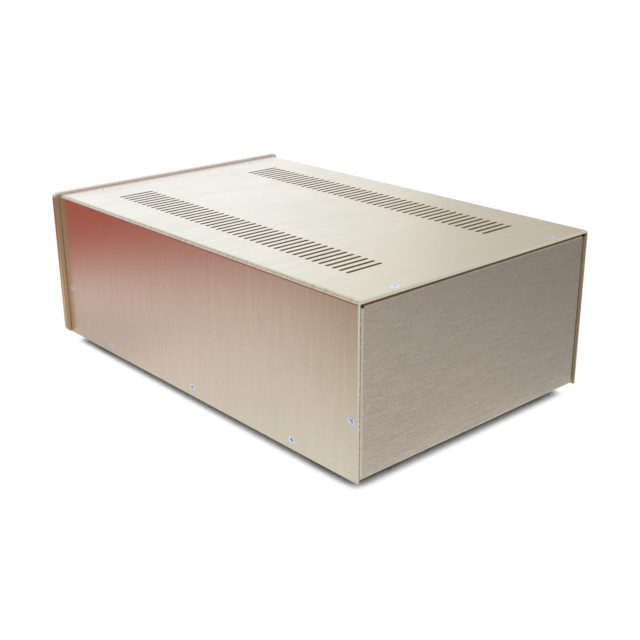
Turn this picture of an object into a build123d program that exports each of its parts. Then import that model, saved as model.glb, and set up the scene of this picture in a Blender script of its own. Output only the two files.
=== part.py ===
"""Amplifier chassis: a folded, slotted cover over a folded tray, with a flat faceplate and feet.

Millimetres. The origin is the middle of the underside of the feet; +Z is up, the faceplate is
at -Y, the blank rear wall at +Y, and +X is the right-hand side seen from the front.
"""
import os

from build123d import *

# Body: the folded cover, from its outside faces
body_width = 208.0
body_height = 110.0
cover_depth = 325.0

# Cover: one sheet folded twice, over the top and down both sides
cover_sheet = 2.0
cover_bend_inside = 0.6
cover_front_gap = 0.6  # between the cover's front edge and the back of the faceplate

# Vent slots: a row along each side of the top, each slot lying across the body
slot_length = 29.0
slot_width = 2.5
slot_pitch = 6.0
slot_side_margin = 29.0  # from the outside of the side to the row
slot_front_margin = 38.5  # from the cover's front edge to the middle of the first slot
slot_rear_margin = 40.0  # from the cover's rear edge to the middle of the last, at the least
slot_end_facets = 4  # each slot's rounded end, so that the many slots stay light

# Tray: floor, front wall, rear wall and the flanges that the screws hold
tray_sheet = 2.0
tray_bend_inside = 0.6
cover_fit = 0.2  # clearance between the tray's flanges and the inside of the cover
rear_setback = 0.6  # of the rear wall inside the cover's rear edge
side_flange_height = 12.0
wall_flange_depth = 12.5
flange_relief = 1.2  # gap between neighbouring flanges
flange_root = 1.0  # of each wall or floor that a flange's fold grows from

# Faceplate
faceplate_thickness = 4.0
faceplate_side_lip = 4.0  # how far it stands past each side of the body
faceplate_top_lip = 1.8
faceplate_corner_radius = 5.0
faceplate_front_round = 1.0
faceplate_back_break = 0.3

# Where the cover is screwed down
top_screw_inset = 33.0  # from the outside of each side
front_screw_inset = 7.2  # from the cover's front edge
rear_screw_inset = 5.0  # from the cover's rear edge
wall_screw_height = 38.0  # above the underside of the body
base_screw_height = 6.2
base_screw_pitch = 104.0
base_screw_count = 3

# Countersunk cover screws, 3 mm thread
cover_screw_radius = 1.5
cover_screw_head_radius = 2.8
cover_screw_rim = 0.15
cover_screw_length = 6.0
cover_hole_radius = 1.7
countersink_margin = 0.15  # radius of the countersink past the head
countersink_angle = 90.0

# Pan-head screws, 4 mm thread, for the faceplate and the feet
pan_screw_radius = 2.0
pan_head_radius = 4.0
pan_head_height = 2.4
pan_head_bevel = 1.0
pan_hole_radius = 2.25
faceplate_screw_length = 4.5
foot_screw_length = 12.0
faceplate_bore_spare = 0.5  # depth of the tapped hole past the screw's end
faceplate_screw_inset = 24.0  # from the outside of each side
faceplate_screw_rise = 18.0  # from the underside and the top of the body

# Screws and tapped holes in general
thread_clearance = 0.05
cross_width = 0.8
cross_depth = 1.1
cross_span_share = 0.56  # arm span of the cross recess, as a share of the head's diameter
cross_taper = 8.0
head_turn = 25.0  # each head stops at its own angle, in degrees

# Foot washers and nuts
washer_radius = 4.5
washer_bore_clearance = 0.15
washer_thickness = 0.8
nut_across_flats = 7.0
nut_height = 3.2

# Feet
foot_height = 8.0
foot_top_radius = 11.0
foot_bottom_radius = 9.5
foot_edge_bevel = 0.8
foot_recess_radius = 5.2
foot_recess_depth = 4.6
foot_side_inset = 34.0
foot_end_inset = 38.0

# Faces and planes that the pieces share
body_half_width = body_width / 2
floor_z = foot_height
body_top_z = floor_z + body_height
total_depth = faceplate_thickness + cover_front_gap + cover_depth
faceplate_front_y = -total_depth / 2
faceplate_back_y = faceplate_front_y + faceplate_thickness
cover_front_y = faceplate_back_y + cover_front_gap
cover_rear_y = total_depth / 2
cover_bend_outside = cover_bend_inside + cover_sheet

tray_half_width = body_half_width - cover_sheet - cover_fit
tray_top_z = body_top_z - cover_sheet - cover_fit
tray_front_y = faceplate_back_y
tray_rear_y = cover_rear_y - rear_setback
tray_bend_outside = tray_bend_inside + tray_sheet
flat_half_width = tray_half_width - tray_bend_outside

front_screw_y = cover_front_y + front_screw_inset
rear_screw_y = cover_rear_y - rear_screw_inset
top_screw_x = body_half_width - top_screw_inset
wall_screw_z = floor_z + wall_screw_height
base_screw_z = floor_z + base_screw_height
base_screw_middle_y = (front_screw_y + rear_screw_y) / 2
base_screw_ys = [
    base_screw_middle_y + (index - (base_screw_count - 1) / 2) * base_screw_pitch
    for index in range(base_screw_count)
]
faceplate_screw_x = body_half_width - faceplate_screw_inset
faceplate_screw_zs = (floor_z + faceplate_screw_rise, body_top_z - faceplate_screw_rise)
foot_x = body_half_width - foot_side_inset
foot_ys = (cover_front_y + foot_end_inset, cover_rear_y - foot_end_inset)

slot_row_x = body_half_width - slot_side_margin - slot_length / 2
slot_count = int((cover_depth - slot_front_margin - slot_rear_margin) / slot_pitch) + 1
slot_row_middle_y = cover_front_y + slot_front_margin + (slot_count - 1) * slot_pitch / 2


def facing(point, normal, turn=0.0):
    """A place at a point, looking along a face's outward normal and turned about it."""
    return Plane(origin=point, z_dir=normal).location * Rot(0, 0, turn)


def turned_places(points, normal):
    """Places for a group of screws, each head stopped at its own angle."""
    return [facing(point, normal, head_turn * index) for index, point in enumerate(points)]


def side_base_points(side):
    """Screw points along the foot of one side; side is 1 on the right and -1 on the left."""
    return [(side * body_half_width, y, base_screw_z) for y in base_screw_ys]


right, left = (1, 0, 0), (-1, 0, 0)
up, down = (0, 0, 1), (0, 0, -1)
rearward = (0, 1, 0)

# Points on the cover's outside where its screws sit
top_front_points = [(x, front_screw_y, body_top_z) for x in (-top_screw_x, top_screw_x)]
top_rear_points = [(x, rear_screw_y, body_top_z) for x in (-top_screw_x, top_screw_x)]
right_base_points = side_base_points(1)
left_base_points = side_base_points(-1)
right_front_points = [(body_half_width, front_screw_y, wall_screw_z)]
right_rear_points = [(body_half_width, rear_screw_y, wall_screw_z)]
left_front_points = [(-body_half_width, front_screw_y, wall_screw_z)]
left_rear_points = [(-body_half_width, rear_screw_y, wall_screw_z)]

# The cover: a channel folded from one sheet, with its slots and countersunk holes
with BuildPart() as cover:
    with BuildSketch(Plane.XZ.offset(-cover_rear_y)) as cover_section:
        with BuildLine():
            FilletPolyline(
                (-body_half_width, floor_z),
                (-body_half_width, body_top_z),
                (body_half_width, body_top_z),
                (body_half_width, floor_z),
                radius=cover_bend_outside,
            )
            offset(amount=cover_sheet, side=Side.RIGHT)
        make_face()
    extrude(amount=cover_depth)
    with BuildSketch(Plane(origin=(0, slot_row_middle_y, body_top_z))) as slots:
        slot_straight = slot_length - slot_width
        with GridLocations(2 * slot_row_x, slot_pitch, 2, slot_count):
            Rectangle(slot_straight, slot_width)
            with GridLocations(slot_straight, 0, 2, 1):
                RegularPolygon(slot_width / 2, 2 * slot_end_facets)
    extrude(amount=-cover_sheet, mode=Mode.SUBTRACT)
    cover_holes = (
        [facing(point, up) for point in top_front_points + top_rear_points]
        + [facing(point, right) for point in right_base_points + right_front_points + right_rear_points]
        + [facing(point, left) for point in left_base_points + left_front_points + left_rear_points]
    )
    with Locations(*cover_holes):
        CounterSinkHole(
            radius=cover_hole_radius,
            counter_sink_radius=cover_screw_head_radius + countersink_margin,
            depth=cover_sheet + cover_fit,
            counter_sink_angle=countersink_angle,
        )

# The tray: its right half is folded up first, then mirrored across the middle
with BuildPart() as base_tray:
    # Top flange, front wall, floor, rear wall and top flange are one strip with four folds
    with BuildSketch(Plane.YZ) as strip_section:
        with BuildLine():
            FilletPolyline(
                (tray_front_y + wall_flange_depth, tray_top_z),
                (tray_front_y, tray_top_z),
                (tray_front_y, floor_z),
                (tray_rear_y, floor_z),
                (tray_rear_y, tray_top_z),
                (tray_rear_y - wall_flange_depth, tray_top_z),
                radius=tray_bend_outside,
            )
            offset(amount=tray_sheet, side=Side.LEFT)
        make_face()
    extrude(amount=flat_half_width)

    # Low flange along the side of the floor, between the flanges of the two walls
    side_flange_start = tray_front_y + wall_flange_depth + flange_relief
    side_flange_end = tray_rear_y - wall_flange_depth - flange_relief
    with BuildSketch(Plane.XZ.offset(-side_flange_end)) as side_flange_section:
        with BuildLine():
            FilletPolyline(
                (flat_half_width - flange_root, floor_z),
                (tray_half_width, floor_z),
                (tray_half_width, floor_z + side_flange_height),
                radius=tray_bend_outside,
            )
            offset(amount=tray_sheet, side=Side.LEFT)
        make_face()
    extrude(amount=side_flange_end - side_flange_start)

    # Flange down the side of each wall, turned into the case; the corners stay open as reliefs
    for wall_y, inward, inside in (
        (tray_front_y, 1, Side.LEFT),
        (tray_rear_y, -1, Side.RIGHT),
    ):
        with BuildSketch(Plane.XY.offset(floor_z + tray_bend_outside)) as wall_flange_section:
            with BuildLine():
                FilletPolyline(
                    (flat_half_width - flange_root, wall_y),
                    (tray_half_width, wall_y),
                    (tray_half_width, wall_y + inward * wall_flange_depth),
                    radius=tray_bend_outside,
                )
                offset(amount=tray_sheet, side=inside)
            make_face()
        extrude(amount=tray_top_z - floor_z - 2 * tray_bend_outside)

    # Tapped holes in the flanges, under each of the cover's screws
    side_bores = [(tray_half_width, y, base_screw_z) for y in base_screw_ys]
    side_bores += [(tray_half_width, y, wall_screw_z) for y in (front_screw_y, rear_screw_y)]
    top_bores = [(top_screw_x, y, tray_top_z) for y in (front_screw_y, rear_screw_y)]
    bores = [facing(point, right) for point in side_bores] + [facing(point, up) for point in top_bores]
    with Locations(*bores):
        Hole(cover_screw_radius + thread_clearance, depth=tray_sheet)

    # Clearance holes for the feet and for the faceplate's screws
    with Locations(*[facing((foot_x, y, floor_z), down) for y in foot_ys]):
        Hole(pan_hole_radius, depth=tray_sheet)
    wall_back_y = tray_front_y + tray_sheet
    with Locations(*[facing((faceplate_screw_x, wall_back_y, z), rearward) for z in faceplate_screw_zs]):
        Hole(pan_hole_radius, depth=tray_sheet)
    mirror(about=Plane.YZ)

# The faceplate: a plate with rounded corners and blind tapped holes in its back
faceplate_screw_reach = faceplate_screw_length - tray_sheet
with BuildPart() as faceplate:
    faceplate_width = body_width + 2 * faceplate_side_lip
    faceplate_height = body_height + faceplate_top_lip
    faceplate_middle_z = floor_z + faceplate_height / 2
    with BuildSketch(Plane.XZ.offset(-faceplate_back_y)) as faceplate_outline:
        with Locations((0, faceplate_middle_z)):
            RectangleRounded(faceplate_width, faceplate_height, faceplate_corner_radius)
    extrude(amount=faceplate_thickness)
    fillet(faces().sort_by(Axis.Y)[0].edges(), radius=faceplate_front_round)
    chamfer(faces().sort_by(Axis.Y)[-1].edges(), length=faceplate_back_break)
    faceplate_bores = [
        facing((x, faceplate_back_y, z), rearward)
        for x in (-faceplate_screw_x, faceplate_screw_x)
        for z in faceplate_screw_zs
    ]
    with Locations(*faceplate_bores):
        Hole(
            pan_screw_radius + thread_clearance,
            depth=faceplate_screw_reach + faceplate_bore_spare,
        )

# A countersunk screw, its head's top at the origin and its shank pointing down
with BuildPart() as cover_screw:
    cone_depth = cover_screw_rim + cover_screw_head_radius - cover_screw_radius
    with BuildSketch(Plane.XZ) as cover_screw_section:
        with BuildLine():
            Polyline(
                (0, 0),
                (cover_screw_head_radius, 0),
                (cover_screw_head_radius, -cover_screw_rim),
                (cover_screw_radius, -cone_depth),
                (cover_screw_radius, -cover_screw_length),
                (0, -cover_screw_length),
                close=True,
            )
        make_face()
    revolve(axis=Axis.Z)
    cover_cross_span = 2 * cover_screw_head_radius * cross_span_share
    with BuildSketch() as cover_cross:
        Rectangle(cover_cross_span, cross_width)
        Rectangle(cross_width, cover_cross_span)
    extrude(amount=-cross_depth, taper=cross_taper, mode=Mode.SUBTRACT)


def pan_screw(length):
    """A pan-head screw, the underside of its head at the origin and its shank pointing down."""
    with BuildPart() as screw:
        Cylinder(pan_head_radius, pan_head_height, align=(Align.CENTER, Align.CENTER, Align.MIN))
        chamfer(edges().sort_by(Axis.Z)[-1], length=pan_head_bevel)
        Cylinder(pan_screw_radius, length, align=(Align.CENTER, Align.CENTER, Align.MAX))
        pan_cross_span = 2 * pan_head_radius * cross_span_share
        with BuildSketch(Plane.XY.offset(pan_head_height)) as pan_cross:
            Rectangle(pan_cross_span, cross_width)
            Rectangle(cross_width, pan_cross_span)
        extrude(amount=-cross_depth, taper=cross_taper, mode=Mode.SUBTRACT)
    return screw.part


with BuildPart() as top_front_screws:
    with Locations(*turned_places(top_front_points, up)):
        add(cover_screw.part)

with BuildPart() as top_rear_screws:
    with Locations(*turned_places(top_rear_points, up)):
        add(cover_screw.part)

with BuildPart() as right_base_screws:
    with Locations(*turned_places(right_base_points, right)):
        add(cover_screw.part)

with BuildPart() as right_front_screw:
    with Locations(*turned_places(right_front_points, right)):
        add(cover_screw.part)

with BuildPart() as right_rear_screw:
    with Locations(*turned_places(right_rear_points, right)):
        add(cover_screw.part)

with BuildPart() as left_base_screws:
    with Locations(*turned_places(left_base_points, left)):
        add(cover_screw.part)

with BuildPart() as left_front_screw:
    with Locations(*turned_places(left_front_points, left)):
        add(cover_screw.part)

with BuildPart() as left_rear_screw:
    with Locations(*turned_places(left_rear_points, left)):
        add(cover_screw.part)

# Faceplate screws: through the front wall from inside
faceplate_screw_seats = [
    (x, wall_back_y, z)
    for x in (-faceplate_screw_x, faceplate_screw_x)
    for z in faceplate_screw_zs
]
with BuildPart() as faceplate_screws:
    with Locations(*turned_places(faceplate_screw_seats, rearward)):
        add(pan_screw(faceplate_screw_length))

# A foot: a tapered round pad with a recess for the screw's head
with BuildPart() as foot:
    with BuildSketch(Plane.XZ) as foot_section:
        with BuildLine():
            Polyline(
                (pan_hole_radius, foot_recess_depth),
                (foot_recess_radius, foot_recess_depth),
                (foot_recess_radius, 0),
                (foot_bottom_radius, 0),
                (foot_top_radius, foot_height),
                (pan_hole_radius, foot_height),
                close=True,
            )
        make_face()
    revolve(axis=Axis.Z)
    underside_edges = edges().filter_by(GeomType.CIRCLE).group_by(Axis.Z)[0]
    chamfer(underside_edges.sort_by(SortBy.RADIUS)[-1], length=foot_edge_bevel)

front_foot_y, rear_foot_y = foot_ys
with BuildPart() as front_left_foot:
    with Locations((-foot_x, front_foot_y)):
        add(foot.part)

with BuildPart() as front_right_foot:
    with Locations((foot_x, front_foot_y)):
        add(foot.part)

with BuildPart() as rear_left_foot:
    with Locations((-foot_x, rear_foot_y)):
        add(foot.part)

with BuildPart() as rear_right_foot:
    with Locations((foot_x, rear_foot_y)):
        add(foot.part)

# A plain washer, its underside at the origin
with BuildPart() as washer:
    with BuildSketch() as washer_ring:
        Circle(washer_radius)
        Circle(pan_screw_radius + washer_bore_clearance, mode=Mode.SUBTRACT)
    extrude(amount=washer_thickness)

# Each foot's screw comes up through a washer in the recess, the pad and the floor, into a nut
foot_centres = [(x, y) for x in (-foot_x, foot_x) for y in foot_ys]
foot_washer_z = foot_recess_depth - washer_thickness
with BuildPart() as foot_washers:
    with Locations(*[(x, y, foot_washer_z) for x, y in foot_centres]):
        add(washer.part)

with BuildPart() as foot_screws:
    with Locations(*turned_places([(x, y, foot_washer_z) for x, y in foot_centres], down)):
        add(pan_screw(foot_screw_length))

with BuildPart() as foot_nuts:
    with BuildSketch(Plane.XY.offset(floor_z + tray_sheet)) as nut_outline:
        with Locations(*foot_centres):
            RegularPolygon(nut_across_flats / 2, 6, major_radius=False)
            Circle(pan_screw_radius + thread_clearance, mode=Mode.SUBTRACT)
    extrude(amount=nut_height)

cover.part.label = "cover"
base_tray.part.label = "base_tray"
faceplate.part.label = "faceplate"
top_front_screws.part.label = "top_front_screws"
top_rear_screws.part.label = "top_rear_screws"
right_base_screws.part.label = "right_base_screws"
right_front_screw.part.label = "right_front_screw"
right_rear_screw.part.label = "right_rear_screw"
left_base_screws.part.label = "left_base_screws"
left_front_screw.part.label = "left_front_screw"
left_rear_screw.part.label = "left_rear_screw"
faceplate_screws.part.label = "faceplate_screws"
front_left_foot.part.label = "front_left_foot"
front_right_foot.part.label = "front_right_foot"
rear_left_foot.part.label = "rear_left_foot"
rear_right_foot.part.label = "rear_right_foot"
foot_washers.part.label = "foot_washers"
foot_screws.part.label = "foot_screws"
foot_nuts.part.label = "foot_nuts"

os.makedirs("parts", exist_ok=True)
export_step(cover.part, "parts/cover.step")
export_step(base_tray.part, "parts/base_tray.step")
export_step(faceplate.part, "parts/faceplate.step")
export_step(top_front_screws.part, "parts/top_front_screws.step")
export_step(top_rear_screws.part, "parts/top_rear_screws.step")
export_step(right_base_screws.part, "parts/right_base_screws.step")
export_step(right_front_screw.part, "parts/right_front_screw.step")
export_step(right_rear_screw.part, "parts/right_rear_screw.step")
export_step(left_base_screws.part, "parts/left_base_screws.step")
export_step(left_front_screw.part, "parts/left_front_screw.step")
export_step(left_rear_screw.part, "parts/left_rear_screw.step")
export_step(faceplate_screws.part, "parts/faceplate_screws.step")
export_step(front_left_foot.part, "parts/front_left_foot.step")
export_step(front_right_foot.part, "parts/front_right_foot.step")
export_step(rear_left_foot.part, "parts/rear_left_foot.step")
export_step(rear_right_foot.part, "parts/rear_right_foot.step")
export_step(foot_washers.part, "parts/foot_washers.step")
export_step(foot_screws.part, "parts/foot_screws.step")
export_step(foot_nuts.part, "parts/foot_nuts.step")
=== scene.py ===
"""Looks of a bare amplifier chassis: brushed champagne sheet, zinc screws and rubber feet.

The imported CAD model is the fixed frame. The folded cover, the tray and the front plate keep their CAD
meshes and get brushed, anodised finishes. The cover's screws and the feet are finer meshes in the places
of their CAD nodes. All lengths are in metres, in the CAD model's frame.
"""

import logging
import math
from dataclasses import dataclass, field
from enum import Enum

import bpy
import numpy as np
from mathutils import Matrix, Vector


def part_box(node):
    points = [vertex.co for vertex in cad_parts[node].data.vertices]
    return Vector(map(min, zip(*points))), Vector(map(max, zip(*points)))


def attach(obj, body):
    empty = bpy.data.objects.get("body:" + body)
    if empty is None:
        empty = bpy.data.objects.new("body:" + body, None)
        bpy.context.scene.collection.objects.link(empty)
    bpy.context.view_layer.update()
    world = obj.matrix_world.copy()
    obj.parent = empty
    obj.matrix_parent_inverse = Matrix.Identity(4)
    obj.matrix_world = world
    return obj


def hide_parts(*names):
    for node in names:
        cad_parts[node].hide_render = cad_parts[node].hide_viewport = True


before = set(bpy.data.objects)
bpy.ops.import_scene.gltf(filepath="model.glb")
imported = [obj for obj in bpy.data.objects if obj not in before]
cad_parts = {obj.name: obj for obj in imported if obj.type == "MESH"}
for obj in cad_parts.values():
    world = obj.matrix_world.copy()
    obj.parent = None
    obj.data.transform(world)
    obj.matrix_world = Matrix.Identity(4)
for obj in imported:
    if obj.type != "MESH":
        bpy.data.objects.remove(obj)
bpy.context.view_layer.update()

BODY = "root"
TWO_PI = 2.0 * math.pi
SHARP_ABOVE = math.radians(35.0)
VECTOR, NUMBER = "NodeSocketVector", "NodeSocketFloat"
NOISE_SPREAD = (0.3, 0.7)
log = logging.getLogger("chassis")

Socket = bpy.types.NodeSocket
Sockets = bpy.types.bpy_prop_collection
Colour = tuple[float, float, float]
Place = tuple[float, float, float]
WHITE: Colour = (1.0, 1.0, 1.0)


def from_screen(red: float, green: float, blue: float) -> Colour:
    """Turn a colour as a screen shows it into the linear values that shaders read.

    Args:
        red: Red from 0 to 255.
        green: Green from 0 to 255.
        blue: Blue from 0 to 255.

    Returns:
        The linear colour: a power of 2.4 above the foot of the curve, a straight line below it.
    """
    share = np.array([red, green, blue]) / 255.0
    linear = np.where(share <= 0.04045, share / 12.92, ((share + 0.055) / 1.055) ** 2.4)
    return tuple(float(value) for value in linear)


class Band(Enum):
    """Where a mask begins and where it is full, as distances inwards from a line of the sheet."""

    CUT_EDGE = (0.0004, 0.0001)
    INNER_ARRIS = (0.0012, 0.0015)
    BELOW_FOLD = (0.0018, 0.0022)
    TICKS_BY_SIDE = (0.0022, 0.0010)
    TICKS_BY_TOP = (0.0030, 0.0012)
    SLOTS_FROM_SIDE = (0.005, 0.006)
    SLOTS_FROM_END = (0.001, 0.002)
    # Where the painted highlight on the upright bends lies.
    BEND_HIGHLIGHT = (0.0026, 0.0018)
    JOINT = (0.0021, 0.0015)
    LIP = (0.0002, -0.0002)


class Graph:
    """A node tree being filled, with short calls that make its nodes and join them."""

    def __init__(self, tree: bpy.types.NodeTree) -> None:
        """Keep the tree that the calls fill."""
        self.tree = tree

    def put(self, target: Socket, value: object) -> None:
        """Give an input socket its value, or join it to the output that is passed."""
        if isinstance(value, Socket):
            self.tree.links.new(value, target)
        elif value is not None:
            target.default_value = value

    def node(self, kind: str, inputs: dict | None = None, **settings: object) -> bpy.types.Node:
        """Make a node.

        Args:
            kind: Blender's name for the kind of node.
            inputs: Values or outputs for its inputs, by name or number.
            settings: Properties of the node itself.

        Returns:
            The new node.
        """
        made = self.tree.nodes.new(kind)
        for name, value in settings.items():
            setattr(made, name, value)
        for key, value in (inputs or {}).items():
            self.put(made.inputs[key], value)
        return made

    def effect(self, group: bpy.types.NodeTree, **inputs: object) -> Sockets:
        """Use a node group, with values or outputs for its inputs by name, and return its outputs."""
        return self.node("ShaderNodeGroup", inputs, node_tree=group).outputs

    def maths(self, operation: str, *values: object, clamp: bool = False) -> Socket:
        """Work out one number from up to three others, each a constant or an output."""
        inputs = dict(enumerate(values))
        return self.node("ShaderNodeMath", inputs, operation=operation, use_clamp=clamp).outputs[0]

    def times(self, first: object, *others: object, clamp: bool = False) -> Socket:
        """Multiply numbers in turn, and hold the last product between 0 and 1 if asked to."""
        product = first
        for value in others[:-1]:
            product = self.maths("MULTIPLY", product, value)
        return self.maths("MULTIPLY", product, others[-1], clamp=clamp)

    def vector(self, operation: str, *values: object) -> Sockets:
        """Work on vectors, each a constant or an output, and return the node's outputs."""
        return self.node("ShaderNodeVectorMath", dict(enumerate(values)), operation=operation).outputs

    def along(self, vector: Socket, way: object) -> Socket:
        """Measure how far a vector reaches in one direction: their dot product."""
        return self.vector("DOT_PRODUCT", vector, way)["Value"]

    def split(self, vector: Socket) -> Sockets:
        """Split a vector into its x, y and z."""
        return self.node("ShaderNodeSeparateXYZ", {0: vector}).outputs

    def place(self) -> Socket:
        """Read where the shaded point is, in its object's axes."""
        return self.node("ShaderNodeTexCoord").outputs["Object"]

    def blend(self, share: object, first: object, second: object, how: str = "MIX") -> Socket:
        """Mix two colours by a share from 0 to 1, each a colour or an output."""
        colours = [(*c, 1.0) if isinstance(c, tuple) else c for c in (first, second)]
        made = self.node("ShaderNodeMix", data_type="RGBA", blend_type=how)
        for index, value in zip((0, 6, 7), (share, *colours)):
            self.put(made.inputs[index], value)
        return made.outputs[2]

    def ramp(self, value: object, low: float, high: float, out_low: float = 0.0, out_high: float = 1.0,
             shape: str = "SMOOTHSTEP") -> Socket:
        """Map a value from the range low..high to out_low..out_high, and hold it at the ends."""
        inputs = {0: value, 1: low, 2: high, 3: out_low, 4: out_high}
        return self.node("ShaderNodeMapRange", inputs, interpolation_type=shape).outputs[0]

    def beside(self, value: object, line: float, band: Band, strength: float = 1.0) -> Socket:
        """Mask what lies beside a line, from where a band begins up to a strength where it is full."""
        begin, full = band.value
        return self.ramp(value, line - begin, line - full, 0.0, strength)

    def noise(self, position: object, scale: float, detail: float = 2.0, roughness: float = 0.5) -> Socket:
        """Read a three-dimensional noise at a position and return its value from 0 to 1."""
        inputs = {"Vector": position, "Scale": scale, "Detail": detail, "Roughness": roughness}
        return self.node("ShaderNodeTexNoise", inputs).outputs[0]

    def bump(self, height: Socket, relief: float) -> Socket:
        """Tilt the surface's normal by a height from 0 to 1, times its relief in metres."""
        return self.node("ShaderNodeBump", {"Height": height, "Strength": 1.0, "Distance": relief}).outputs[0]

    def surface(self, tone: object, rough: object, normal: object, metal: object = 0.0) -> None:
        """Finish a material with one Principled shader, a metal where metal is 1."""
        shader = self.node("ShaderNodeBsdfPrincipled", {
            "Base Color": tone, "Metallic": metal, "Roughness": rough, "Normal": normal,
        })
        self.node("ShaderNodeOutputMaterial", {"Surface": shader.outputs[0]})


def new_material(name: str) -> tuple[bpy.types.Material, Graph]:
    """Make an empty material, and return it with the graph that fills it."""
    material = bpy.data.materials.new(name)
    material.use_nodes = True
    material.node_tree.nodes.clear()
    return material, Graph(material.node_tree)


def new_group(
    name: str, inputs: dict[str, str], outputs: dict[str, str],
) -> tuple[bpy.types.NodeTree, Graph, dict, dict]:
    """Start a shader node group with named sockets.

    Args:
        name: The group's name.
        inputs: Socket kinds by input name.
        outputs: Socket kinds by output name.

    Returns:
        The group, the graph that fills it, what its inputs give by name, and the sockets that its results
        go to by name.
    """
    group = bpy.data.node_groups.new(name, "ShaderNodeTree")
    for label, kind in inputs.items():
        group.interface.new_socket(label, in_out="INPUT", socket_type=kind)
    for label, kind in outputs.items():
        group.interface.new_socket(label, in_out="OUTPUT", socket_type=kind)
    graph = Graph(group)
    start, end = graph.node("NodeGroupInput"), graph.node("NodeGroupOutput")
    return group, graph, {k: start.outputs[k] for k in inputs}, {k: end.inputs[k] for k in outputs}


@dataclass(frozen=True)
class EffectGroups:
    """The effects that more than one finish uses, each a node group built once."""

    grain: bpy.types.NodeTree
    wear: bpy.types.NodeTree
    dust: bpy.types.NodeTree
    seam: bpy.types.NodeTree

    @classmethod
    def build(cls) -> "EffectGroups":
        """Build the four groups."""
        return cls(cls._grain(), cls._wear(), cls._dust(), cls._seam_shade())

    @staticmethod
    def _grain() -> bpy.types.NodeTree:
        """Brushed grain, mottle and clouds; the grain's noises are drawn out along it by their own scales."""
        group, g, given, result = new_group(
            "brushed_grain",
            {"Position": VECTOR, "Fine": VECTOR, "Coarse": VECTOR},
            {"Streaks": NUMBER, "Bands": NUMBER, "Mottle": NUMBER, "Clouds": NUMBER},
        )
        position = given["Position"]
        fine = g.vector("MULTIPLY", position, given["Fine"])[0]
        coarse = g.vector("MULTIPLY", position, given["Coarse"])[0]
        g.put(result["Streaks"], g.noise(fine, scale=1.0, detail=3.0, roughness=0.65))
        g.put(result["Bands"], g.noise(coarse, scale=1.0, detail=2.0, roughness=0.55))
        g.put(result["Mottle"], g.noise(position, scale=900.0, detail=2.0, roughness=0.55))
        g.put(result["Clouds"], g.noise(position, scale=14.0, detail=3.0, roughness=0.5))
        return group

    @staticmethod
    def _seam_shade() -> bpy.types.NodeTree:
        """Painted shade in seams: strongest where nearby faces close most of the surface in."""
        group, g, given, result = new_group("painted_seam_shade", {"Reach": NUMBER}, {"Mask": NUMBER})
        opening = g.node("ShaderNodeAmbientOcclusion", {"Distance": given["Reach"]}, samples=8).outputs["AO"]
        g.put(result["Mask"], g.ramp(opening, 0.62, 0.2))
        return group

    @staticmethod
    def _wear() -> bpy.types.NodeTree:
        """Edge wear: how far a rounded normal turns from the real one, broken up by noise."""
        group, g, given, result = new_group(
            "edge_wear", {"Position": VECTOR, "Radius": NUMBER, "Gain": NUMBER}, {"Mask": NUMBER},
        )
        rounded = g.node("ShaderNodeBevel", {"Radius": given["Radius"]}, samples=4).outputs[0]
        real = g.node("ShaderNodeNewGeometry").outputs["Normal"]
        turn = g.maths("SUBTRACT", 1.0, g.along(rounded, real))
        broken = g.noise(given["Position"], scale=420.0, detail=3.0, roughness=0.6)
        broken = g.ramp(broken, 0.35, 0.65, 0.35, 1.0)
        g.put(result["Mask"], g.times(turn, given["Gain"], broken, clamp=True))
        return group

    @staticmethod
    def _dust() -> bpy.types.NodeTree:
        """Settled dust: specks and a thin haze on the faces that look up."""
        group, g, given, result = new_group(
            "settled_dust", {"Position": VECTOR, "Amount": NUMBER}, {"Mask": NUMBER},
        )
        normal = g.node("ShaderNodeNewGeometry").outputs["Normal"]
        upward = g.ramp(g.split(normal)[2], 0.6, 0.98)
        specks = g.ramp(g.noise(given["Position"], scale=1400.0, detail=1.0), 0.68, 0.78)
        haze = g.noise(given["Position"], scale=30.0, detail=3.0, roughness=0.6)
        haze = g.ramp(haze, 0.4, 0.75, 0.0, 0.5)
        g.put(result["Mask"], g.times(g.maths("MAXIMUM", specks, haze), upward, given["Amount"], clamp=True))
        return group


class Grain(Enum):
    """The way that the brushing of a sheet runs, as the noise scales along X, Y and Z, fine then coarse."""

    ACROSS_THE_FOLDS = ((40.0, 2600.0, 40.0), (22.0, 560.0, 22.0))
    ALONG_THE_WIDTH = ((60.0, 2600.0, 2600.0), (60.0, 520.0, 520.0))


@dataclass(frozen=True)
class SheetLines:
    """Where a folded sheet bends and where its cut edges lie.

    Attributes:
        half_width: Distance of the folds' outer faces from the middle.
        top: Height of the folds' outer face.
        foot: Height of the lower cut edges.
        middle: Middle of the sheet's depth.
        half_depth: Distance of the end cut edges from that middle.
    """

    half_width: float
    top: float
    foot: float
    middle: float
    half_depth: float

    @classmethod
    def of_node(cls, node: str) -> "SheetLines":
        """Read the lines off a CAD node's box."""
        low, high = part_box(node)
        return cls(half_width=high.x, top=high.z, foot=low.z, middle=(low.y + high.y) / 2.0,
                   half_depth=(high.y - low.y) / 2.0)


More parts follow.
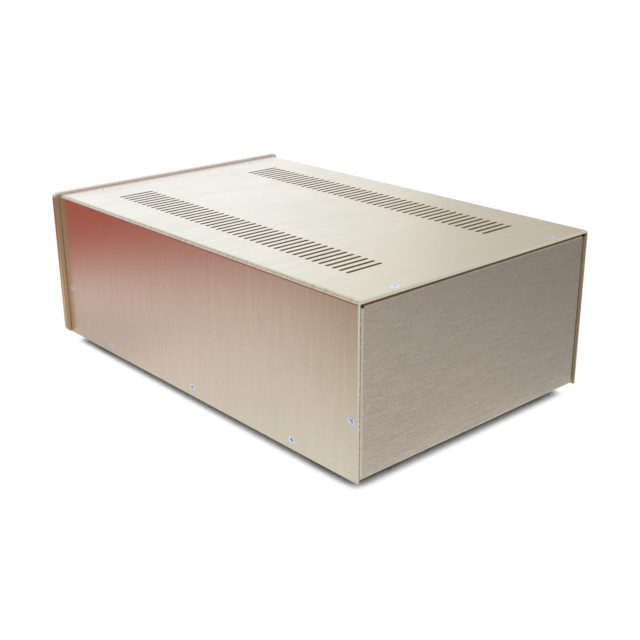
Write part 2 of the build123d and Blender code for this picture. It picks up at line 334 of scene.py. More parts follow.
@dataclass(frozen=True)
class BrushedFinish:
    """Brushed and anodised aluminium sheet.

    Attributes:
        name: The material's name.
        colour: Colour of the anodised face.
        cast: Colour that the slow clouds lean towards.
        grain: The way that the brushing runs.
        roughness: Roughness of the face between its streaks.
        contrast: How much the grain darkens and lightens the colour, and changes the roughness.
        relief: Height of the grain's bump.
        seam_shade_reach: Width of the painted shade in seams.
        painted_shade: Colour of the painted shade in seams, on slot walls and in the joint under a fold.
        dust: Colour of the settled dust.
        lines: The folds and cut edges that show, or None.
        cut: Colour of the cut edges, and of the painted highlight on upright bends under another sheet.
        far_side_shade: Painted shade of the cut edges down the left side.
        arris: Colour of the painted shade of the gap, a broken line along their inner arris.
        ticks: Colour of the ticks across the folds.
        joint: Where the sheet bends away under another one, or None.
        lit_lip: Height of a lip's foot and the colour of the highlight painted above it, or None.
    """

    name: str
    colour: Colour
    cast: Colour
    grain: Grain
    roughness: float = 0.34
    contrast: float = 0.06
    relief: float = 0.000006
    seam_shade_reach: float = 0.001
    painted_shade: Colour = from_screen(146, 112, 66)
    dust: Colour = from_screen(225, 222, 214)
    lines: SheetLines | None = None
    cut: Colour = from_screen(232, 227, 208)
    far_side_shade: Colour = from_screen(178, 152, 98)
    arris: Colour = from_screen(104, 97, 74)
    ticks: Colour = from_screen(110, 96, 66)
    joint: SheetLines | None = None
    lit_lip: tuple[float, Colour] | None = None

    def build(self, effects: EffectGroups) -> bpy.types.Material:
        """Make the material.

        Args:
            effects: The shared effect groups.

        Returns:
            The finished material.
        """
        material, g = new_material(self.name)
        place = g.place()
        fine, coarse = self.grain.value
        grain = g.effect(effects.grain, Position=place, Fine=fine, Coarse=coarse)
        wear = g.effect(effects.wear, Position=place, Radius=0.0006, Gain=3.0)["Mask"]
        dust = g.effect(effects.dust, Position=place, Amount=0.25)["Mask"]
        # Painted shade in seams: occlusion over a short reach, used below to darken creases and gaps.
        seam = g.effect(effects.seam, Reach=self.seam_shade_reach)["Mask"]

        both = g.maths("ADD", g.times(grain["Streaks"], 0.55), g.times(grain["Bands"], 0.45))
        dark, light = 1.0 - self.contrast, 1.0 + self.contrast
        shade = g.ramp(both, *NOISE_SPREAD, dark, light)
        shade = g.times(shade, g.ramp(grain["Mottle"], *NOISE_SPREAD, dark, light))
        tone = g.blend(g.ramp(grain["Clouds"], 0.35, 0.65), self.colour, self.cast)
        tone = g.node("ShaderNodeVectorMath", {0: tone, "Scale": shade}, operation="SCALE").outputs[0]
        metal = 1.0
        rough = g.ramp(both, *NOISE_SPREAD, self.roughness + self.contrast, self.roughness - self.contrast)
        if self.lines:
            bare = self._cut_edges(g, place)
            tone = g.blend(bare, self._fold_ticks(g, place, tone), self._cut_colour(g, place))
            metal = g.ramp(bare, 0.0, 1.0, 1.0, 0.25)
            rough = g.maths("ADD", rough, g.times(bare, 0.3))
        # Painted highlight: above the lip's foot the plate turns paler and half metal.
        if self.lit_lip:
            lip_foot, pale = self.lit_lip
            lip = g.beside(g.split(place)[2], lip_foot, Band.LIP)
            tone = g.blend(lip, tone, pale)
            metal = g.ramp(lip, 0.0, 1.0, 1.0, 0.5)
        if self.joint:
            # Painted highlight: the tray's upright bends take the pale cut-edge colour.
            tone = g.blend(self._bend_highlights(g, place), tone, self.cut)
        tone = g.blend(g.times(wear, 0.5), tone, self._worn())
        tone = g.blend(g.times(dust, 0.35), tone, self.dust)
        # Painted shade: the seams' occlusion, the upper bend under the cover and the slot walls take the
        # painted shade colour, with less metal and more roughness.
        painted_shade_mask = g.times(seam, 0.85)
        if self.joint:
            painted_shade_mask = g.maths("MAXIMUM", painted_shade_mask, self._painted_joint_shade(g, place))
        if self.lines:
            painted_shade_mask = g.maths("MAXIMUM", painted_shade_mask, self._painted_slot_shade(g, place))
        tone = g.blend(painted_shade_mask, tone, self.painted_shade)
        metal = g.times(metal, g.maths("SUBTRACT", 1.0, painted_shade_mask))
        for soft in (dust, painted_shade_mask):
            rough = g.maths("ADD", rough, g.times(soft, 0.3), clamp=True)
        g.surface(tone, rough, g.bump(both, self.relief), metal)
        return material

    def _worn(self) -> Colour:
        """Colour of rubbed edges: the face's, 12 per cent brighter and lifted by 0.05, up to white."""
        return tuple(min(1.0, value * 1.12 + 0.05) for value in self.colour)

    def _cut_edges(self, g: Graph, place: Socket) -> Socket:
        """Find the sheet's bare cut edges: its two ends in depth and the feet of its sides.

        Args:
            g: The material's graph.
            place: The Object coordinates.

        Returns:
            A mask of 1 on the edges, fading over a third of a millimetre.
        """
        _, y, z = g.split(place)
        reach = g.maths("ABSOLUTE", g.maths("SUBTRACT", y, self.lines.middle))
        ends = g.beside(reach, self.lines.half_depth, Band.CUT_EDGE)
        begin, full = Band.CUT_EDGE.value
        return g.maths("MAXIMUM", ends, g.ramp(z, self.lines.foot + begin, self.lines.foot + full))

    def _bend_highlights(self, g: Graph, place: Socket) -> Socket:
        """Find the upright bends of a sheet under another one, where a highlight is painted as they catch the
        light.
        """
        side = g.maths("ABSOLUTE", g.split(place)[0])
        return g.beside(side, self.joint.half_width, Band.BEND_HIGHLIGHT, 0.8)

    def _cut_colour(self, g: Graph, place: Socket) -> Socket:
        """Colour the cut edges: pale, with painted shade down the left side and a broken line of painted gap
        shade on the inner arris.

        Args:
            g: The material's graph.
            place: The Object coordinates.

        Returns:
            The colour.
        """
        x, _, z = g.split(place)
        inner = g.beside(g.maths("ABSOLUTE", x), self.lines.half_width, Band.INNER_ARRIS)
        below = g.beside(z, self.lines.top, Band.BELOW_FOLD)
        dashes = g.ramp(g.noise(place, scale=1000.0, detail=1.0), 0.38, 0.5, 0.35, 0.9)
        # Painted shade: the cut edges down the left side are darkened.
        left = g.times(below, g.ramp(x, 0.0, -0.09))
        tone = g.blend(left, self.cut, self.far_side_shade)
        # Painted shade of the gap between the cover and the tray: a broken dark line on the inner arris.
        return g.blend(g.times(inner, below, dashes), tone, self.arris)

    def _painted_slot_shade(self, g: Graph, place: Socket) -> Socket:
        """Find the walls of the holes through the top sheet, for painted shade: its steep faces away from
        folds and ends.

        Args:
            g: The material's graph.
            place: The Object coordinates.

        Returns:
            A mask of up to 0.8 on those walls.
        """
        x, y, _ = g.split(place)
        normal = g.node("ShaderNodeNewGeometry").outputs["True Normal"]
        lift = g.maths("ABSOLUTE", g.split(normal)[2])
        from_sides = g.beside(g.maths("ABSOLUTE", x), self.lines.half_width, Band.SLOTS_FROM_SIDE)
        reach = g.maths("ABSOLUTE", g.maths("SUBTRACT", y, self.lines.middle))
        from_ends = g.beside(reach, self.lines.half_depth, Band.SLOTS_FROM_END)
        return g.times(g.times(from_sides, from_ends), g.ramp(lift, 0.5, 0.3, 0.0, 0.8))

    def _painted_joint_shade(self, g: Graph, place: Socket) -> Socket:
        """Find the upper bend of a sheet that lies under another one, where shade is painted in the joint."""
        return g.beside(g.split(place)[2], self.joint.top, Band.JOINT, 0.95)

    def _fold_ticks(self, g: Graph, place: Socket, tone: Socket) -> Socket:
        """Darken short ticks across the folds, where bending opens the grain.

        The noise is squeezed to a fiftieth across the fold, so its spots become ticks.

        Args:
            g: The material's graph.
            place: The Object coordinates.
            tone: The colour so far.

        Returns:
            The colour with the ticks.
        """
        x, y, z = g.split(place)
        outer = g.beside(g.maths("ABSOLUTE", x), self.lines.half_width, Band.TICKS_BY_SIDE)
        upper = g.beside(z, self.lines.top, Band.TICKS_BY_TOP)
        squeezed = g.node("ShaderNodeCombineXYZ", {0: g.times(x, 0.02), 1: y, 2: g.times(z, 0.02)}).outputs[0]
        ticks = g.ramp(g.noise(squeezed, scale=420.0, detail=2.0, roughness=0.6), 0.5, 0.68)
        return g.blend(g.times(g.times(outer, upper), g.times(ticks, 0.34)), tone, self.ticks)


@dataclass(frozen=True)
class ZincFinish:
    """Bright zinc plating with a blue passivation, and painted shade in the recesses.

    Attributes:
        name: The material's name.
        colour: Colour of the plating.
        shadow: Colour of the blue stains and of the painted shade in the recesses.
        rubbed: Colour of rubbed edges.
        roughness: Roughness of the plating.
    """

    name: str
    colour: Colour = from_screen(224, 238, 253)
    shadow: Colour = from_screen(16, 44, 88)
    rubbed: Colour = from_screen(244, 248, 252)
    roughness: float = 0.22

    def build(self, effects: EffectGroups) -> bpy.types.Material:
        """Make the material from the shared effect groups."""
        material, g = new_material(self.name)
        place = g.place()
        grain = g.effect(effects.grain, Position=place, Fine=(2200.0,) * 3, Coarse=(900.0,) * 3)
        wear = g.effect(effects.wear, Position=place, Radius=0.00015, Gain=2.0)["Mask"]
        # Blue passivation stains from the grain's bands, and painted shade in the cross and other recesses
        # from the occlusion.
        seam = g.effect(effects.seam, Reach=0.0018)["Mask"]
        stain_and_recess_shade = g.maths("MAXIMUM", g.ramp(grain["Bands"], 0.45, 0.65, 0.0, 0.4), seam)
        tone = g.blend(stain_and_recess_shade, self.colour, self.shadow)
        tone = g.blend(g.times(wear, 0.5), tone, self.rubbed)
        rough = g.ramp(grain["Streaks"], *NOISE_SPREAD, self.roughness - 0.05, self.roughness + 0.08)
        g.surface(tone, rough, g.bump(grain["Streaks"], relief=0.000008), metal=1.0)
        return material


@dataclass(frozen=True)
class RubberFinish:
    """Black moulded rubber, greyed a little by dust and rubbed along its edges."""

    name: str
    colour: Colour = from_screen(38, 37, 36)
    grey: Colour = from_screen(78, 76, 72)

    def build(self, effects: EffectGroups) -> bpy.types.Material:
        """Make the material from the shared effect groups."""
        material, g = new_material(self.name)
        place = g.place()
        grain = g.effect(effects.grain, Position=place, Fine=(2400.0,) * 3, Coarse=(500.0,) * 3)
        wear = g.effect(effects.wear, Position=place, Radius=0.0005, Gain=2.5)["Mask"]
        tone = g.blend(g.ramp(grain["Bands"], 0.4, 0.8, 0.0, 0.3), self.colour, self.grey)
        tone = g.blend(g.times(wear, 0.5), tone, self.grey)
        rough = g.ramp(grain["Streaks"], *NOISE_SPREAD, 0.55, 0.75)
        g.surface(tone, rough, g.bump(grain["Streaks"], relief=0.00006))
        return material


def surface_of_rings(name: str, rings: np.ndarray, caps: tuple | None = None) -> bpy.types.Object:
    """Make a mesh from closed rings of points, joined ring to ring.

    Point (i, j) of the grid joins to (i + 1, j) and to (i, j + 1), with j wrapping round. With caps, the
    first ring closes on the first cap point and the last ring on the second; without caps, the last ring
    joins back to the first.

    Args:
        name: The object's name.
        rings: An array of shape (rings, points in a ring, 3), in metres.
        caps: The two pole points, or None for a closed loop of rings.

    Returns:
        The new object, smooth with sharp edges above 35 degrees.
    """
    count, around = rings.shape[:2]
    wrap = count if caps is None else count - 1
    i, j = np.meshgrid(np.arange(wrap), np.arange(around), indexing="ij")
    below, beside = (i + 1) % count, (j + 1) % around
    quads = np.stack([i * around + j, i * around + beside, below * around + beside, below * around + j], -1)
    faces = quads.reshape(-1, 4).tolist()
    points = rings.reshape(-1, 3)
    if caps is not None:
        turn = np.arange(around)
        first, last = len(points), len(points) + 1
        low = np.stack([np.full(around, first), (turn + 1) % around, turn], -1)
        base = (count - 1) * around
        high = np.stack([np.full(around, last), base + turn, base + (turn + 1) % around], -1)
        faces += low.tolist() + high.tolist()
        points = np.vstack([points, np.array(caps)])
    return mesh_object(name, points, faces)


def mesh_object(name: str, points: np.ndarray, faces: list) -> bpy.types.Object:
    """Put points and faces into a new mesh object in the scene, smooth with sharp edges above 35 degrees."""
    mesh = bpy.data.meshes.new(name)
    mesh.from_pydata(points.tolist(), [], faces)
    mesh.polygons.foreach_set("use_smooth", np.ones(len(mesh.polygons), bool))
    mesh.set_sharp_from_angle(angle=SHARP_ABOVE)
    mesh.update()
    made = bpy.data.objects.new(name, mesh)
    bpy.context.scene.collection.objects.link(made)
    return made


def dress_node(name: str, material: bpy.types.Material) -> None:
    """Give a CAD node's material slots a new finish and report it."""
    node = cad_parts[name]
    for slot in node.material_slots:
        slot.material = material
    faces = len(node.data.polygons)
    log.info("CAD node %s keeps its mesh of %d faces, finish %s", name, faces, material.name)


def add_piece(piece: bpy.types.Object, material: bpy.types.Material, node: str) -> None:
    """Dress a new piece, let it stand for a CAD node and report it."""
    piece.data.materials.append(material)
    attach(piece, BODY)
    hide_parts(node)
    log.info("piece %s: %d faces, finish %s", piece.name, len(piece.data.polygons), material.name)


@dataclass
class FoldedCover:
    """The slotted cover, folded down over both sides."""

    node: str = "cover"
    face: Colour = from_screen(212, 203, 182)
    cast: Colour = from_screen(215, 203, 184)
    # Colour of the painted shade in the cover's seams and on its slot walls.
    painted_shade: Colour = from_screen(152, 114, 64)

    def build(self, effects: EffectGroups) -> None:
        """Dress the CAD cover in sheet brushed across its folds."""
        finish = BrushedFinish(
            "champagne_cover", self.face, self.cast, Grain.ACROSS_THE_FOLDS, roughness=0.30, contrast=0.034,
            relief=0.000003, painted_shade=self.painted_shade, lines=SheetLines.of_node(self.node),
        )
        dress_node(self.node, finish.build(effects))


@dataclass
class BaseTray:
    """The folded tray with its front and rear walls."""

    node: str = "base_tray"
    face: Colour = from_screen(208, 198, 179)
    cast: Colour = from_screen(204, 195, 178)
    # Colour of the painted shade in the tray's seams and on its upper bend under the cover.
    painted_shade: Colour = from_screen(118, 80, 42)

    def build(self, effects: EffectGroups) -> None:
        """Dress the CAD tray in sheet brushed along its width."""
        finish = BrushedFinish(
            "champagne_tray", self.face, self.cast, Grain.ALONG_THE_WIDTH, roughness=0.40, contrast=0.10,
            painted_shade=self.painted_shade, joint=SheetLines.of_node(self.node),
        )
        dress_node(self.node, finish.build(effects))


@dataclass
class Faceplate:
    """The front plate and the screws behind it."""

    node: str = "faceplate"
    screws: str = "faceplate_screws"
    face: Colour = from_screen(214, 194, 160)
    cast: Colour = from_screen(216, 192, 160)
    # Colour of the painted highlight along the upper lip.
    lip: Colour = from_screen(236, 222, 214)
    # Colour of the painted shade where the plate meets the cover.
    painted_shade: Colour = from_screen(190, 134, 68)

    def build(self, effects: EffectGroups) -> None:
        """Dress the CAD plate, with a painted highlight along its upper lip, and its screws."""
        lip_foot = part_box("cover")[1].z
        finish = BrushedFinish(
            "gold_faceplate", self.face, self.cast, Grain.ALONG_THE_WIDTH, roughness=0.36,
            seam_shade_reach=0.0007, painted_shade=self.painted_shade, lit_lip=(lip_foot, self.lip),
        )
        dress_node(self.node, finish.build(effects))
        dress_node(self.screws, ZincFinish("zinc_behind_faceplate", roughness=0.32).build(effects))


class Facing(Enum):
    """The way that a group of screw heads looks: its axis number and sign."""

    UP = (2, 1.0)
    RIGHT = (0, 1.0)
    LEFT = (0, -1.0)


@dataclass
class CoverScrews:
    """Flush cross-head screws that hold the cover.

    Attributes:
        groups: Way of looking and number of screws, by CAD node.
        head_radius: Radius of the countersunk head.
        bevel: Width of the strip that rounds the head's face into its edge.
        dish: Depth of the straight edge's upper end.
        rim: Depth of the straight edge's lower end.
        shank_radius: Outside radius of the thread.
        thread_depth: Depth of the thread.
        pitch: Rise of the thread in one turn.
        length: Whole length of the screw.
        taper: Length of the tip.
        tip_radius: Radius at the end of the tip.
        arm_half_width: Half the width of one arm of the cross.
        arm_reach: Distance from the axis to the end of an arm.
        arm_wall: Width of an arm's side wall, seen from above.
        cross_depth: Depth of the cross in its middle.
        pole_radius: Radius of the smallest ring of the head's face.
        ring_gap: Height between the cone and the first ring of the shank.
        around: Points in a ring.
        face_rings: Rings in the head's face.
        cone_rings: Rings in the cone.
        rings_per_turn: Rings in one turn of the thread.
        turn_in_group: Turn from one screw of a group to the next, in degrees.
        turn_by_group: Turn from one group to the next, in degrees.
    """

    groups: dict[str, tuple[Facing, int]] = field(default_factory=lambda: {
        "top_front_screws": (Facing.UP, 2), "top_rear_screws": (Facing.UP, 2),
        "right_base_screws": (Facing.RIGHT, 3), "right_front_screw": (Facing.RIGHT, 1),
        "right_rear_screw": (Facing.RIGHT, 1), "left_base_screws": (Facing.LEFT, 3),
        "left_front_screw": (Facing.LEFT, 1), "left_rear_screw": (Facing.LEFT, 1),
    })
    head_radius: float = 0.0028
    bevel: float = 0.00012
    dish: float = 0.00008
    rim: float = 0.00015
    shank_radius: float = 0.0015
    thread_depth: float = 0.0002
    pitch: float = 0.0005
    length: float = 0.006
    taper: float = 0.0004
    tip_radius: float = 0.0009
    arm_half_width: float = 0.0004
    arm_reach: float = 0.00157
    arm_wall: float = 0.00012
    cross_depth: float = 0.0011
    pole_radius: float = 0.00004
    ring_gap: float = 0.0001
    around: int = 72
    face_rings: int = 30
    cone_rings: int = 4
    rings_per_turn: int = 6
    turn_in_group: float = 25.0
    turn_by_group: float = 11.0

    def _cross(self, x: np.ndarray, y: np.ndarray) -> np.ndarray:
        """Depth of the cross recess at points of the head.

        For each arm the depth is the middle depth, falling along the arm with the square root of what is
        left to its end, times a smooth step that closes the arm at its side walls; the recess is the
        deeper of the two arms.

        Args:
            x: Distances along one arm.
            y: Distances along the other arm.

        Returns:
            The depths.
        """
        def arm(along: np.ndarray, aside: np.ndarray) -> np.ndarray:
            """Depth of one arm, from distances along it and aside."""
            left = np.clip(1.0 - np.abs(along) / self.arm_reach, 0.0, 1.0)
            wall = np.clip((self.arm_half_width - np.abs(aside)) / self.arm_wall + 0.5, 0.0, 1.0)
            return self.cross_depth * np.sqrt(left) * wall * wall * (3.0 - 2.0 * wall)
        return np.maximum(arm(x, y), arm(y, x))

    def _rings(self) -> np.ndarray:
        """Points of one screw with its head's face at height 0, looking up.

        The head is a disc of rings at even radii, lowered by the cross; below it come the straight edge
        and the cone down to the shank; on the shank the radius falls by the thread's depth times a
        triangle wave of height over pitch minus angle over a full turn; a short taper ends it.

        Returns:
            An array of shape (rings, points in a ring, 3), from the head to the tip.
        """
        angle = np.arange(self.around) * TWO_PI / self.around
        radii = np.linspace(self.pole_radius, self.head_radius - self.bevel, self.face_rings)
        r, a = np.meshgrid(radii, angle, indexing="ij")
        height = -self._cross(r * np.cos(a), r * np.sin(a))
        edge = np.array([[self.head_radius, -self.dish], [self.head_radius, -self.rim]])
        neck = -self.rim - (self.head_radius - self.shank_radius)
        cone = np.stack([np.linspace(self.head_radius, self.shank_radius, self.cone_rings + 1)[1:],
                         np.linspace(-self.rim, neck, self.cone_rings + 1)[1:]], -1)
        steps = int((self.length + neck - self.taper) / self.pitch * self.rings_per_turn)
        depths = np.linspace(neck - self.ring_gap, -self.length + self.taper, steps)
        wave = np.abs(((depths[:, None] / self.pitch - angle[None, :] / TWO_PI) % 1.0) * 2.0 - 1.0)
        shank = self.shank_radius - self.thread_depth * wave
        profile = np.vstack([edge, cone])
        r = np.vstack([r, np.repeat(profile[:, :1], self.around, 1), shank,
                       np.full((1, self.around), self.tip_radius)])
        z = np.vstack([height, np.repeat(profile[:, 1:], self.around, 1),
                       np.repeat(depths[:, None], self.around, 1), np.full((1, self.around), -self.length)])
        return np.stack([r * np.cos(angle), r * np.sin(angle), z], -1)

    def _centres(self, node: str, facing: Facing, count: int) -> np.ndarray:
        """Middle of each head's face: evenly spaced along the node's box, on its outer side.

        Args:
            node: The CAD node of the group.
            facing: The way that its heads look.
            count: How many screws it has.

        Returns:
            An array of shape (count, 3).
        """
        low, high = (np.array(corner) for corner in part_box(node))
        axis, sign = facing.value
        middle = (low + high) / 2.0
        middle[axis] = high[axis] if sign > 0 else low[axis]
        along = int(np.argmax(np.where(np.arange(3) == axis, 0.0, high - low)))
        centres = np.repeat(middle[None, :], count, 0)
        if count > 1:
            ends = low[along] + self.head_radius, high[along] - self.head_radius
            centres[:, along] = np.linspace(*ends, count)
        return centres

    def build(self, effects: EffectGroups) -> None:
        """Build one piece for each group of screws and dress it in zinc."""
        material = ZincFinish("bright_zinc").build(effects)
        rings = self._rings()
        caps = np.array([[0.0, 0.0, -self.cross_depth], [0.0, 0.0, -self.length]])
        for number, (node, (facing, count)) in enumerate(self.groups.items()):
            axis, sign = facing.value
            outward = Vector((0.0, 0.0, 0.0))
            outward[axis] = sign
            swing = np.array(outward.to_track_quat("Z", "Y").to_matrix())
            made = []
            for index, centre in enumerate(self._centres(node, facing, count)):
                degrees = self.turn_in_group * index + self.turn_by_group * number
                place = swing @ np.array(Matrix.Rotation(math.radians(degrees), 3, "Z"))
                points = np.einsum("ab,ijb->ija", place, rings) + centre
                ends = caps @ place.T + centre
                made.append(surface_of_rings(f"{node}_{index}", points, (ends[0], ends[1])))
            add_piece(self._joined(made, f"{node}_fine"), material, node)

    @staticmethod
    def _joined(parts: list[bpy.types.Object], name: str) -> bpy.types.Object:
        """Join mesh objects that all sit at the origin into the first of them."""
        whole = parts[0]
        with bpy.context.temp_override(active_object=whole, selected_editable_objects=parts, object=whole):
            if len(parts) > 1:
                bpy.ops.object.join()
        whole.name = name
        whole.data.name = name
        return whole


@dataclass
class Feet:
    """Four turned rubber feet with their fixings.

    Attributes:
        nodes: The CAD feet.
        fixings: The CAD nodes that hold them.
        profile: Radius and height of the foot's outline, from the bore's top round to the recess.
        around: Points in a ring.
    """

    nodes: tuple[str, ...] = ("front_left_foot", "front_right_foot", "rear_left_foot", "rear_right_foot")
    fixings: tuple[str, ...] = ("foot_washers", "foot_screws", "foot_nuts")
    profile: tuple[tuple[float, float], ...] = (
        (0.00225, 0.0046), (0.00225, 0.0080), (0.0065, 0.0080), (0.0106, 0.0080), (0.01090, 0.00792),
        (0.01100, 0.0077), (0.01090, 0.0071), (0.01055, 0.0050), (0.01035, 0.0038), (0.01005, 0.0035),
        (0.00985, 0.0032), (0.00998, 0.0029), (0.00975, 0.0012), (0.00958, 0.0006), (0.00930, 0.00022),
        (0.00885, 0.0), (0.00740, 0.0), (0.00700, 0.00025), (0.00640, 0.00025), (0.0060, 0.0),
        (0.00545, 0.0), (0.00525, 0.0002), (0.0052, 0.0006), (0.0052, 0.0046),
    )
    around: int = 96

    def build(self, effects: EffectGroups) -> None:
        """Turn each foot round its own axis, dress it in rubber and dress the fixings in zinc."""
        rubber = RubberFinish("black_rubber").build(effects)
        radius, height = np.array(self.profile).T
        angle = np.arange(self.around) * TWO_PI / self.around
        rings = np.stack([radius[:, None] * np.cos(angle), radius[:, None] * np.sin(angle),
                          np.repeat(height[:, None], self.around, 1)], -1)[::-1]
        for node in self.nodes:
            low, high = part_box(node)
            centre = np.array([(low.x + high.x) / 2.0, (low.y + high.y) / 2.0, low.z])
            add_piece(surface_of_rings(f"{node}_turned", rings + centre), rubber, node)
        zinc = ZincFinish("zinc_under_base", roughness=0.30).build(effects)
        for node in self.fixings:
            dress_node(node, zinc)


@dataclass(frozen=True)
class SoftLamp:
    """A rectangular soft lamp that no camera sees.

    Attributes:
        name: The lamp's name.
        place: Where it hangs.
        aim: The point that it is turned to.
        size: Width and height of its light.
        power: Its power in watts.
        colour: Colour of its light.
    """

    name: str
    place: Place
    aim: Place
    size: tuple[float, float]
    power: float
    colour: Colour

    def hang(self) -> None:
        """Put the lamp in the scene."""
        data = bpy.data.lights.new(self.name, "AREA")
        data.shape, data.energy, data.color = "RECTANGLE", self.power, self.colour
        data.size, data.size_y = self.size
        lamp = bpy.data.objects.new(self.name, data)
        lamp.location = self.place
        lamp.rotation_euler = (Vector(self.aim) - Vector(self.place)).to_track_quat("-Z", "Y").to_euler()
        lamp.visible_camera = False
        bpy.context.scene.collection.objects.link(lamp)


@dataclass
class Studio:
    """The pale floor, the lamps, the sky and the camera.

    The floor and the sky are white to the camera. To gloss they show the room round the object: a red
    and brown stretch of floor beyond the near side, a grey one behind the rear wall, and one darker part
    of the sky.

    Attributes:
        lamps: A broad lamp overhead and a large one beyond the front.
        floor_reach: Distance from the middle to the floor's edge.
        floor_cells: Squares along one edge of the floor.
        floor_height: Height of the floor, a little under the feet.
        shade_reach: Width of the floor's darkening round the object.
        shade_depth: Strength of the floor's glow in the full darkening; to the camera it is 0.
        glow: Strength of the open floor's glow.
        lens: Focal length for a 36 mm wide sensor, in millimetres.
        azimuth: The camera's turn about the upright, in degrees.
        elevation: The camera's height angle, in degrees.
        roll: The camera's tilt about its own axis, in degrees.
        distance: Distance from the camera to the point that it looks at.
        target: The point that the camera looks at.
        near_floor: The floor beside the object, as gloss shows it, linear.
        pink_floor: The floor towards the red stretch.
        red_floor: The red stretch beyond the front of the near side.
        brown_cast: What the floor's colour is multiplied by, far off the near side.
        corner_cast: What it is multiplied by close to the front corner of the near side.
        rear_pale: The floor behind the rear wall, at its near end.
        rear_dark: The floor behind the rear wall, at its far end.
        sky: The sky as gloss shows it.
        sky_dark: Its darker part.
        sky_warm: The middle of that part.
        sky_high: Its upper part.
        sky_red: Its low red part, beyond the near side.
        plain_light: The sky as matt surfaces are lit by it.
        dark_way: The way to the middle of the darker part.
        red_way: The way to the red part.
        slant_way: The way over the floor to the red stretch.
        off_side_way: The way over the floor to the brown stretch.
        corner_spot: The middle of the darker spot by the front corner of the near side.
    """

    lamps: tuple[SoftLamp, ...] = (
        SoftLamp("overhead", place=(-0.2, -0.3, 1.6), aim=(0.0, 0.0, 0.05), size=(1.6, 1.6), power=6.0,
                 colour=(1.0, 0.99, 0.97)),
        SoftLamp("beyond_front", place=(-0.7, -1.7, 0.75), aim=(0.0, 0.0, 0.1), size=(2.0, 1.1), power=2.8,
                 colour=(0.78, 0.90, 1.0)),
    )
    floor_reach: float = 6.0
    floor_cells: int = 24
    floor_height: float = -0.0001
    shade_reach: float = 0.020
    shade_depth: float = 0.45
    glow: float = 0.97
    lens: float = 57.99
    azimuth: float = 138.437
    elevation: float = 20.683
    roll: float = -0.365
    distance: float = 0.6766
    target: Place = (0.04093, 0.06289, 0.06333)
    near_floor: Colour = (0.935, 0.955, 0.97)
    pink_floor: Colour = (0.81, 0.68, 0.70)
    red_floor: Colour = (0.48, 0.06, 0.035)
    brown_cast: Colour = (0.45, 0.36, 0.24)
    corner_cast: Colour = (0.82, 0.81, 0.81)
    rear_pale: Colour = (0.725, 0.685, 0.695)
    rear_dark: Colour = (0.205, 0.185, 0.19)
    sky: Colour = (1.02, 1.08, 1.23)
    sky_dark: Colour = (0.77, 0.765, 0.76)
    sky_warm: Colour = (0.62, 0.55, 0.48)
    sky_high: Colour = (0.62, 0.58, 0.50)
    sky_red: Colour = (0.40, 0.12, 0.07)
    plain_light: Colour = (0.75, 0.75, 0.75)
    dark_way: Place = (-0.896, -0.362, 0.259)
    red_way: Place = (0.62, -0.78, 0.0)
    slant_way: Place = (0.681, -0.732, 0.0)
    off_side_way: Place = (0.85, 0.53, 0.0)
    corner_spot: Place = (0.115, -0.165, 0.0)

    def build(self) -> None:
        """Make the camera, the sky, the lamps and the floor."""
        self._camera()
        self._sky()
        for lamp in self.lamps:
            lamp.hang()
        self._floor()

    def _camera(self) -> None:
        """Stand the camera at the photo's angle: back from the target along its azimuth and elevation."""
        a, e, r = (math.radians(v) for v in (self.azimuth, self.elevation, self.roll))
        back = Vector((math.sin(a) * math.cos(e), -math.cos(a) * math.cos(e), math.sin(e)))
        level = Vector((0, 0, 1)).cross(back).normalized()
        up = back.cross(level)
        right = math.cos(r) * level + math.sin(r) * up
        upward = -math.sin(r) * level + math.cos(r) * up
        data = bpy.data.cameras.new("camera")
        data.lens, data.sensor_width, data.sensor_fit = self.lens, 36.0, "HORIZONTAL"
        data.clip_start, data.clip_end = 0.01, 60.0
        camera = bpy.data.objects.new("camera", data)
        place = Vector(self.target) + back * self.distance
        camera.matrix_world = Matrix((
            (right.x, upward.x, back.x, place.x),
            (right.y, upward.y, back.y, place.y),
            (right.z, upward.z, back.z, place.z),
            (0.0, 0.0, 0.0, 1.0),
        ))
        bpy.context.scene.collection.objects.link(camera)
        bpy.context.scene.camera = camera

    @staticmethod
    def _ways_of_seeing(g: Graph) -> tuple[Socket, Socket]:
        """Two masks: one for rays from the camera, the other for rays from a gloss or a clear body."""
        path = g.node("ShaderNodeLightPath").outputs
        return path["Is Camera Ray"], g.maths("MAXIMUM", path["Is Glossy Ray"], path["Is Transmission Ray"])

    def _sky(self) -> None:
        """White behind the object, pale with one darker part in its gloss, a plain grey light elsewhere.

        The darker part grows with the cosine between the ray and the way to its middle, which is warmer.
        The sky dims high up, and its red part stands low over the floor and fades upwards.
        """
        world = bpy.data.worlds.new("plain_sky")
        world.use_nodes = True
        world.node_tree.nodes.clear()
        g = Graph(world.node_tree)
        seen, mirrored = self._ways_of_seeing(g)
        way = g.node("ShaderNodeTexCoord").outputs["Generated"]
        near_dark = g.along(way, self.dark_way)
        gloss = g.blend(g.ramp(near_dark, 0.865, 0.935), self.sky, self.sky_dark)
        gloss = g.blend(g.ramp(near_dark, 0.962, 0.992), gloss, self.sky_warm)
        height = g.split(way)[2]
        gloss = g.blend(g.ramp(height, 0.40, 0.58), gloss, self.sky_high)
        towards = g.ramp(g.along(way, self.red_way), 0.60, 0.85)
        gloss = g.blend(g.times(towards, g.ramp(height, 0.22, 0.06)), gloss, self.sky_red)
        tone = g.blend(seen, g.blend(mirrored, self.plain_light, gloss), WHITE)
        sky = g.node("ShaderNodeBackground", {"Color": tone, "Strength": 1.0})
        g.node("ShaderNodeOutputWorld", {"Surface": sky.outputs[0]})
        bpy.context.scene.world = world

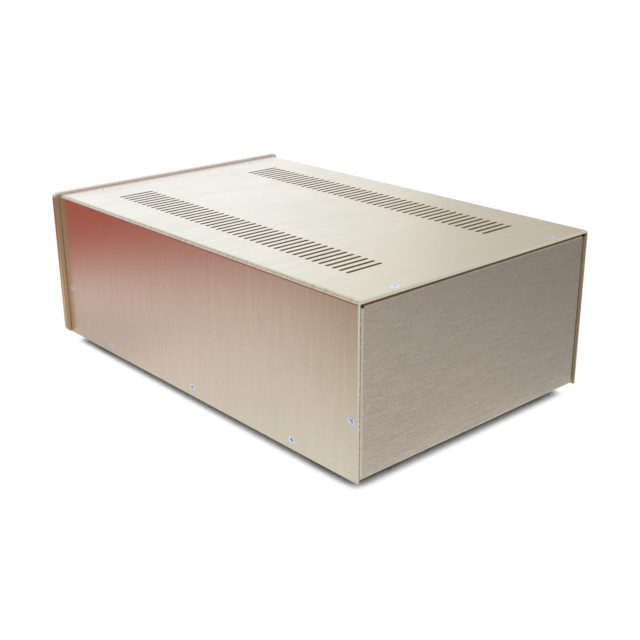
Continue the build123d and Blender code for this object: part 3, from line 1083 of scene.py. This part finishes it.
    def _room_on_floor(self, g: Graph) -> Socket:
        """Colour the floor as gloss shows it.

        The colour comes from smooth steps along x, y and two slanting ways, and from the distance to a
        spot by the front corner of the near side.

        Args:
            g: The floor material's graph.

        Returns:
            The colour.
        """
        place = g.place()
        x, y, _ = g.split(place)
        slant = g.along(place, self.slant_way)
        tone = g.blend(g.ramp(slant, -0.02, 0.30, shape="LINEAR"), self.near_floor, self.pink_floor)
        red = g.maths("MAXIMUM", g.ramp(slant, 0.275, 0.505), g.ramp(x, 0.34, 0.42))
        tone = g.blend(red, tone, self.red_floor)
        brown = g.ramp(g.along(place, self.off_side_way), 0.165, 0.305)
        tone = g.blend(brown, tone, self.brown_cast, "MULTIPLY")
        from_corner = g.vector("DISTANCE", place, self.corner_spot)["Value"]
        tone = g.blend(g.ramp(from_corner, 0.10, 0.03), tone, self.corner_cast, "MULTIPLY")
        grey = g.blend(g.ramp(x, 0.12, -0.38, shape="LINEAR"), self.rear_pale, self.rear_dark)
        behind = g.times(g.ramp(y, 0.135, 0.20), g.ramp(x, 0.17, 0.11))
        return g.blend(behind, tone, grey)

    def _floor(self) -> None:
        """Lay the pale floor: a flat grid of squares, white to the eye, darkened close under the object."""
        cells, side = np.arange(self.floor_cells), self.floor_cells + 1
        steps = np.linspace(-self.floor_reach, self.floor_reach, side)
        x, y = np.meshgrid(steps, steps, indexing="ij")
        points = np.stack([x, y, np.full_like(x, self.floor_height)], -1).reshape(-1, 3)
        i, j = np.meshgrid(cells, cells, indexing="ij")
        corner = i * side + j
        faces = np.stack([corner, corner + side, corner + side + 1, corner + 1], -1).reshape(-1, 4).tolist()
        floor = mesh_object("floor", points, faces)
        material, g = new_material("pale_floor")
        seen, mirrored = self._ways_of_seeing(g)
        shade = g.node("ShaderNodeAmbientOcclusion", {"Distance": self.shade_reach}, samples=16)
        tone = g.blend(seen, self._room_on_floor(g), WHITE)
        deep = g.ramp(seen, 0.0, 1.0, self.shade_depth, 0.0)
        strength = g.ramp(shade.outputs["AO"], 0.22, 0.45, deep, self.glow)
        glow = g.node("ShaderNodeEmission", {"Color": tone, "Strength": strength})
        paper = g.node("ShaderNodeBsdfDiffuse", {"Color": (0.82, 0.82, 0.81, 1.0)})
        part = g.node("ShaderNodeBsdfDiffuse", {"Color": (0.06, 0.06, 0.06, 1.0)})
        white = g.node("ShaderNodeAddShader", {0: glow.outputs[0], 1: part.outputs[0]})
        shown = g.maths("MAXIMUM", seen, mirrored)
        both = g.node("ShaderNodeMixShader", {0: shown, 1: paper.outputs[0], 2: white.outputs[0]})
        g.node("ShaderNodeOutputMaterial", {"Surface": both.outputs[0]})
        floor.data.materials.append(material)
        log.info("stage floor: %d faces", len(floor.data.polygons))


def main() -> None:
    """Build the studio and the sub-assemblies in order."""
    logging.basicConfig(level=logging.INFO, format="%(name)s: %(message)s")
    bpy.context.scene.view_settings.view_transform = "Standard"
    Studio().build()
    effects = EffectGroups.build()
    for assembly in (FoldedCover(), BaseTray(), Faceplate(), CoverScrews(), Feet()):
        assembly.build(effects)


if __name__ == "__main__":
    main()
